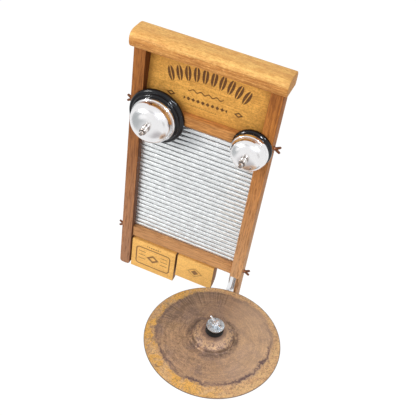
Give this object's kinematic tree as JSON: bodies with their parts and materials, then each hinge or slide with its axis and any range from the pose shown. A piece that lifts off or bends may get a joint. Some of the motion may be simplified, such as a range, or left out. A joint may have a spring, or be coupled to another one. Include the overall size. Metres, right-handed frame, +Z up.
{
  "type": "washboard frottoir",
  "caption": "Wood-framed ribbed rub board with call bells, slotted wood blocks and a small splash cymbal on a bent tube, held or hung by its back.",
  "frame": {"origin": "centre of the middle rail's back face", "axes": "+X to the viewer's right, +Y out of the back, +Z up the board; the playing side faces -Y"},
  "size_m": [0.3388, 0.2799, 0.453],
  "materials": {
    "cap_oak": "varnished oak",
    "panel_oak": "varnished oak",
    "stile_wood": "red-brown varnish",
    "rail_wood": "red-brown varnish",
    "block_wood": "satin varnish",
    "dowel_wood": "bare",
    "zinc_sheet": "ribbed and worn bright",
    "black_base": "gloss black",
    "bell_chrome": "polished",
    "arm_chrome": "polished",
    "steel_parts": "plated",
    "aged_brass": "antique brown",
    "cymbal_bronze": "dark patina with a bright rim",
    "black_felt": "felt",
    "grey_rubber": "matt"
  },
  "bodies": {
    "board": {"cap_rail": "cap_oak", "cymbal_arm": "arm_chrome", "cymbal_arm_screw_1": "steel_parts", "cymbal_arm_screw_2": "steel_parts", "cymbal_lock_nut": "steel_parts", "cymbal_lower_felt": "black_felt", "cymbal_lower_washer": "steel_parts", "cymbal_post": "arm_chrome", "cymbal_top_washer": "arm_chrome", "cymbal_upper_felt": "black_felt", "head_panel": "panel_oak", "left_bell_base": "black_base", "left_bell_dome": "bell_chrome", "left_bell_dome_nut": "bell_chrome", "left_bell_post": "steel_parts", "left_bell_screw_1": "steel_parts", "left_bell_screw_2": "steel_parts", "left_bell_spring": "steel_parts", "left_bell_striker_pin": "steel_parts", "left_block_screw_1": "steel_parts", "left_block_screw_2": "steel_parts", "left_block_spacer_1": "grey_rubber", "left_block_spacer_2": "grey_rubber", "left_cap_dowel": "dowel_wood", "left_lower_insert": "steel_parts", "left_stile": "stile_wood", "left_upper_insert": "steel_parts", "left_wood_block": "block_wood", "lower_rail": "rail_wood", "middle_rail": "rail_wood", "right_bell_base": "black_base", "right_bell_dome": "bell_chrome", "right_bell_dome_nut": "bell_chrome", "right_bell_post": "steel_parts", "right_bell_screw_1": "steel_parts", "right_bell_screw_2": "steel_parts", "right_bell_spring": "steel_parts", "right_bell_striker_pin": "steel_parts", "right_block_screw_1": "steel_parts", "right_block_screw_2": "steel_parts", "right_block_spacer_1": "grey_rubber", "right_block_spacer_2": "grey_rubber", "right_cap_dowel": "dowel_wood", "right_lower_insert": "steel_parts", "right_stile": "stile_wood", "right_upper_insert": "steel_parts", "right_wood_block": "block_wood", "rub_sheet": "zinc_sheet"},
    "left_plunger": {"left_bell_plunger": "bell_chrome"},
    "right_plunger": {"right_bell_plunger": "bell_chrome"},
    "left_striker": {"left_bell_striker": "steel_parts"},
    "right_striker": {"right_bell_striker": "steel_parts"},
    "cymbal": {"cymbal": "cymbal_bronze"},
    "cymbal_wing_nut": {"cymbal_wing_nut": "arm_chrome"},
    "left_upper_wing_screw": {"left_upper_wing_screw": "aged_brass"},
    "left_lower_wing_screw": {"left_lower_wing_screw": "aged_brass"},
    "right_upper_wing_screw": {"right_upper_wing_screw": "aged_brass"},
    "right_lower_wing_screw": {"right_lower_wing_screw": "aged_brass"}
  },
  "joints": [
    {"name": "left_plunger_press", "type": "slide", "parent": "board", "child": "left_plunger", "axis": [0, 1, 0], "range_m": [0, 0.0036], "stiffness_N_per_m": 400, "springref_m": -0.002, "deforming": ["left_bell_spring"]},
    {"name": "left_striker_swing", "type": "hinge", "parent": "board", "child": "left_striker", "pos_m": [-0.056, -0.0411, -0.0065], "axis": [0, 0, -1], "range_deg": [0, 22]},
    {"name": "right_plunger_press", "type": "slide", "parent": "board", "child": "right_plunger", "axis": [0, 1, 0], "range_m": [0, 0.0036], "stiffness_N_per_m": 400, "springref_m": -0.002, "deforming": ["right_bell_spring"]},
    {"name": "right_striker_swing", "type": "hinge", "parent": "board", "child": "right_striker", "pos_m": [0.0913, -0.0418, -0.0038], "axis": [0, 0, -1], "range_deg": [0, 22]},
    {"name": "cymbal_spin", "type": "hinge", "parent": "board", "child": "cymbal", "pos_m": [0.1167, -0.167, -0.2537], "axis": [-0.0314, 0, 0.9995], "continuous": true},
    {"name": "cymbal_wing_nut_turn", "type": "hinge", "parent": "board", "child": "cymbal_wing_nut", "pos_m": [0.1167, -0.167, -0.2187], "axis": [0, 0, 1], "continuous": true},
    {"name": "left_upper_wing_screw_turn", "type": "hinge", "parent": "board", "child": "left_upper_wing_screw", "pos_m": [-0.1095, -0.0125, -0.002], "axis": [-1, 0, 0], "continuous": true},
    {"name": "left_lower_wing_screw_turn", "type": "hinge", "parent": "board", "child": "left_lower_wing_screw", "pos_m": [-0.1095, -0.0125, -0.256], "axis": [-1, 0, 0], "continuous": true},
    {"name": "right_upper_wing_screw_turn", "type": "hinge", "parent": "board", "child": "right_upper_wing_screw", "pos_m": [0.1095, -0.0125, -0.002], "axis": [1, 0, 0], "continuous": true},
    {"name": "right_lower_wing_screw_turn", "type": "hinge", "parent": "board", "child": "right_lower_wing_screw", "pos_m": [0.1095, -0.0125, -0.256], "axis": [1, 0, 0], "continuous": true}
  ],
  "couplings": [
    {"joint": "left_striker_swing", "follows": "left_plunger_press", "rad_per_m": 105},
    {"joint": "right_striker_swing", "follows": "right_plunger_press", "rad_per_m": 105}
  ]
}
